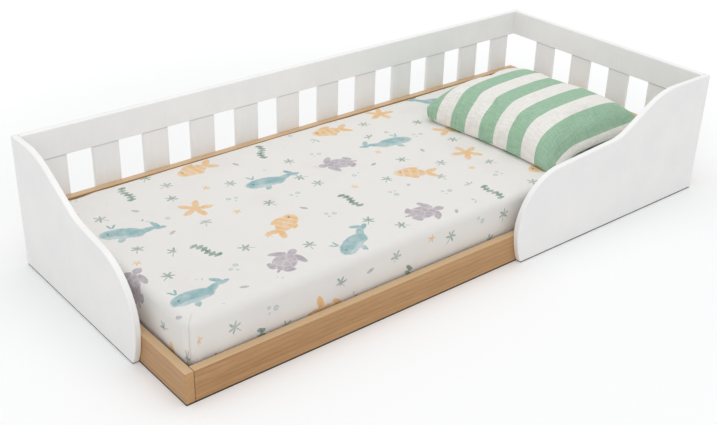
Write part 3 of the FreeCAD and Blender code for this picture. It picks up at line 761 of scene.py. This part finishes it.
# ---------------------------------------------------------------- pillow
# One case of linen-look cotton with wide stripes, sewn shut round its edge over a soft filling.
# It is cut flat, blown up, and lies on the sheet, with its seam sunk to the sheet at the foot side.
pillow_middle = Vector((0.449, -0.047, sheet_high.z + 0.0423))
pillow_turn = radians(3.0)
case_width, case_length, seam_height = 0.392, 0.448, 0.004
stripe_count = 9
stripe_width = case_length / stripe_count
underside_shift = 1.74 * stripe_width
filled_width, filled_length, crown, belly = 0.398, 0.454, 0.071, 0.0418

bm = bmesh.new()
bmesh.ops.create_cube(bm, size=1.0)
bmesh.ops.scale(bm, vec=(case_width, case_length, seam_height), verts=bm.verts)
corners = [e for e in bm.edges if abs(e.verts[0].co.z - e.verts[1].co.z) > 0.001]
corner_radius, cell = 0.03, 0.0085
bmesh.ops.bevel(bm, geom=corners, offset=corner_radius, segments=5, profile=0.5,
                affect="EDGES", material=-1)
for axis, size in ((0, case_width), (1, case_length)):
    normal = Vector([axis == 0, axis == 1, 0])
    cuts = int(size / cell)
    for i in range(1, cuts):
        bmesh.ops.bisect_plane(bm, geom=bm.verts[:] + bm.edges[:] + bm.faces[:],
                               plane_co=normal * size * (i / cuts - 0.5), plane_no=normal)
bmesh.ops.remove_doubles(bm, verts=bm.verts, dist=sliver)
case_cloth = bm.loops.layers.uv.new("flat_cloth")
# The stripes underneath are shifted, as on a case whose two sides were cut apart.
for face in bm.faces:
    under = face.normal.z < -0.5 or face.calc_center_median().z < -0.001
    for loop in face.loops:
        loop[case_cloth].uv = (loop.vert.co.x, loop.vert.co.y + (underside_shift if under else 0.0))
drawn_in_across, drawn_in_along = 0.045, 0.035
for vertex in bm.verts:
    across, along = vertex.co.x / case_width * 2, vertex.co.y / case_length * 2
    curve = (2.8, 3.2) if vertex.co.z > 0 else (5.0, 7.0)
    fullness = (max(0.0, 1 - abs(across) ** curve[0]) * max(0.0, 1 - abs(along) ** curve[1])) ** 0.5
    vertex.co.x *= 1 - drawn_in_across * (1 - along ** 2)
    vertex.co.y *= 1 - drawn_in_along * (1 - across ** 2)
    vertex.co.z += fullness * (crown if vertex.co.z > 0 else -1.2 * belly)
pillow = made(bm, "pillow_striped", "pillow", body="pillow")
farthest_blown, blown_for = 0.016, 20
filling = pillow.modifiers.new("filling", "CLOTH")
filling.settings.quality = 6
filling.settings.mass = 0.2
filling.settings.tension_stiffness = 12.0
filling.settings.compression_stiffness = 12.0
filling.settings.shear_stiffness = 4.0
filling.settings.bending_stiffness = 0.6
filling.settings.use_pressure = True
filling.settings.uniform_pressure_force = 4.0
filling.settings.effector_weights.gravity = 0.0
for moment in range(1, blown_for + 1):
    bpy.context.scene.frame_set(moment)
filled = pillow.evaluated_get(bpy.context.evaluated_depsgraph_get()).data
for vertex, moved in zip(pillow.data.vertices, filled.vertices):
    shift = moved.co - vertex.co
    vertex.co += shift * min(1.0, farthest_blown / max(shift.length, 1e-6))
pillow.modifiers.remove(filling)
bpy.context.scene.frame_set(1)


def share(value, start, end):
    """How far a value is on its way between two others, from 0 to 1."""
    return min(1.0, max(0.0, (value - start) / (end - start)))


# The filled case is kept to its size, bulges at the foot side over a sunk seam, and is tucked
# under at its front end.
reach = [max(abs(v.co[axis]) for v in pillow.data.vertices) for axis in range(3)]
turned = Matrix.Translation(pillow_middle) @ Matrix.Rotation(pillow_turn, 4, "Z")
foot_bulge, front_tuck, front_lift, seam_sink = 0.009, 0.070, 0.008, 0.038
for vertex in pillow.data.vertices:
    x, y, z = vertex.co
    x *= min(1.0, filled_width / 2 / reach[0])
    y *= min(1.0, filled_length / 2 / reach[1])
    z *= min(1.0, crown / reach[2])
    foot_side = share(-x / filled_width * 2, 0.35, 0.9)
    front_end = share(-y / filled_length * 2, 0.4, 1.0)
    height = share(z, 0.0, 0.055)
    x -= foot_bulge * foot_side * sin(pi * height)
    depth = share(-z, 0.0, belly)
    y -= front_tuck * front_end * depth ** 0.7 * (1 - 0.45 * depth)
    back_end = share(y / filled_length * 2, 0.5, 1.0)
    z += front_lift * front_end ** 2 * (1 - foot_side)
    z -= seam_sink * foot_side ** 2 * (1 - height) * (1 - 0.6 * back_end)
    vertex.co = turned @ Vector((x, y, max(z, -belly)))
pillow.data.update()
smoothing = pillow.modifiers.new("fine cloth", "SUBSURF")
smoothing.levels = smoothing.render_levels = 1

linen = Finish("striped_linen", roughness=0.92)
flat = linen.coordinates("UV")


def crossed(scale, detail, drawn_out):
    """Uneven threads that run along and across the cloth."""
    along = linen.noise(linen.placed(flat, scale=(drawn_out, 1, 1)), scale, detail)
    across = linen.noise(linen.placed(flat, scale=(1, drawn_out, 1)), scale, detail)
    return across * 0.5 + along * 0.5


threads = crossed(1500.0, 2.0, 0.12)
slubs = crossed(330.0, 3.0, 0.1)
bleed = (threads - 0.5) * 0.002
place_in_pair = ((flat.part(1) + case_length / 2 + bleed) / (2 * stripe_width)).math("FRACT")
cream_part = place_in_pair.between(0.497, 0.503) * (1 - place_in_pair.between(0.994, 1.0))
body_tone = (threads * 0.4 + slubs * 0.6).between(0.36, 0.64)
green = linen.mix(body_tone, paint(139, 176, 148), paint(169, 201, 175))
cream = linen.mix(body_tone, paint(221, 218, 212), paint(244, 242, 237))
linen.set(base_color=linen.mix(cream_part, green, cream),
          normal=linen.bump(threads * 0.6 + slubs * 0.4, 0.0004))
give(pillow, linen)

# ---------------------------------------------------------------- room, light and camera
# A pale floor that runs out of view, an even white surround, a soft box overhead, a weaker one
# in front and a 54 mm lens. Right under the boards the floor is painted dark, a painted shadow where no
# light gets in.
floor_reach = 12.0
floor_mesh = bmesh.new()
bmesh.ops.create_grid(floor_mesh, x_segments=1, y_segments=1, size=floor_reach)
mesh = bpy.data.meshes.new("floor")
floor_mesh.to_mesh(mesh)
floor_mesh.free()
floor = bpy.data.objects.new("floor", mesh)
bpy.context.scene.collection.objects.link(floor)
floor_finish = Finish("pale_floor", roughness=0.9)
spot = floor_finish.coordinates()
# The boards that face the lens each lay a painted shadow on the floor under them, short of their rounded
# toes: there the floor is dark and does not glow.
under_bed = 0.0
for node, from_foot, from_front in (("foot_rail", 0.0, 0.0), ("front_rail", 0.0, 0.0),
                                    ("foot_panel", 0.001, 0.02), ("front_guard", 0.02, 0.001)):
    low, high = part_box(node)
    inside = (spot.part(0) > low.x + from_foot) * (spot.part(0) < high.x)
    inside = inside * (spot.part(1) > low.y + from_front) * (spot.part(1) < high.y)
    under_bed = inside.math("MAXIMUM", under_bed)
seen = floor_finish.node("LightPath", {}, {}, output="Is Camera Ray")
for way in ("Is Glossy Ray", "Is Transmission Ray"):
    seen = seen.math("MAXIMUM", floor_finish.node("LightPath", {}, {}, output=way))
lifted = seen * (1.0 - under_bed)
far_off = spot.length().between(0.8, 2.8)
near_glow, far_glow = (0.098, 0.104, 0.11), (0.42, 0.42, 0.42)
# The second floor colour is painted shadow, used only under the boards.
open_floor, painted_shadow_floor = (0.88, 0.88, 0.88), (0.12, 0.11, 0.10)
glow = floor_finish.mix(far_off, near_glow, far_glow)
floor_finish.set(base_color=floor_finish.mix(under_bed, open_floor, painted_shadow_floor),
                 emission_color=floor_finish.mix(lifted, (0, 0, 0), glow), emission_strength=1.0)
mesh.materials.append(floor_finish.material)

# The surround is a little darker as a light than as a background.
world = bpy.data.worlds.new("studio")
bpy.context.scene.world = world
world.use_nodes = True
sky = world.node_tree.nodes["Background"]
path = world.node_tree.nodes.new("ShaderNodeLightPath")
seen = path.outputs["Is Camera Ray"]
for way in ("Is Glossy Ray", "Is Transmission Ray"):
    either = world.node_tree.nodes.new("ShaderNodeMath")
    either.operation = "MAXIMUM"
    world.node_tree.links.new(seen, either.inputs[0])
    world.node_tree.links.new(path.outputs[way], either.inputs[1])
    seen = either.outputs[0]
as_light, as_seen = (0.76, 0.76, 0.76, 1), (1, 1, 1, 1)
brightness = world.node_tree.nodes.new("ShaderNodeMix")
brightness.data_type = "RGBA"
brightness.inputs[6].default_value = as_light
brightness.inputs[7].default_value = as_seen
world.node_tree.links.new(seen, brightness.inputs[0])
world.node_tree.links.new(brightness.outputs[2], sky.inputs["Color"])
sky.inputs["Strength"].default_value = 1.0


def lamp(name, place, size, watts):
    """A square soft box that looks at the middle of the bed."""
    data = bpy.data.lights.new(name, "AREA")
    data.size = size
    data.energy = watts
    box = bpy.data.objects.new(name, data)
    box.location = place
    box.rotation_euler = (-Vector(place)).to_track_quat("-Z", "Y").to_euler()
    bpy.context.scene.collection.objects.link(box)


lamp("overhead_softbox", (0.2, 0.2, 3.2), size=2.6, watts=24)
lamp("front_softbox", (-2.2, -2.8, 2.3), size=2.4, watts=15)

lens = bpy.data.cameras.new("camera")
lens.lens = 53.94
lens.sensor_width = 36.0
lens.sensor_fit = "HORIZONTAL"
camera = bpy.data.objects.new("camera", lens)
place, bearing, pitch, roll = (-1.5802, -1.7673, 1.2859), radians(40.134), radians(28.001), radians(1.619)
camera.matrix_world = (Matrix.Translation(place) @ Matrix.Rotation(-bearing, 4, "Z")
                       @ Matrix.Rotation(pi / 2 - pitch, 4, "X") @ Matrix.Rotation(roll, 4, "Z"))
bpy.context.scene.collection.objects.link(camera)
bpy.context.scene.camera = camera
bpy.context.scene.view_settings.view_transform = "Standard"
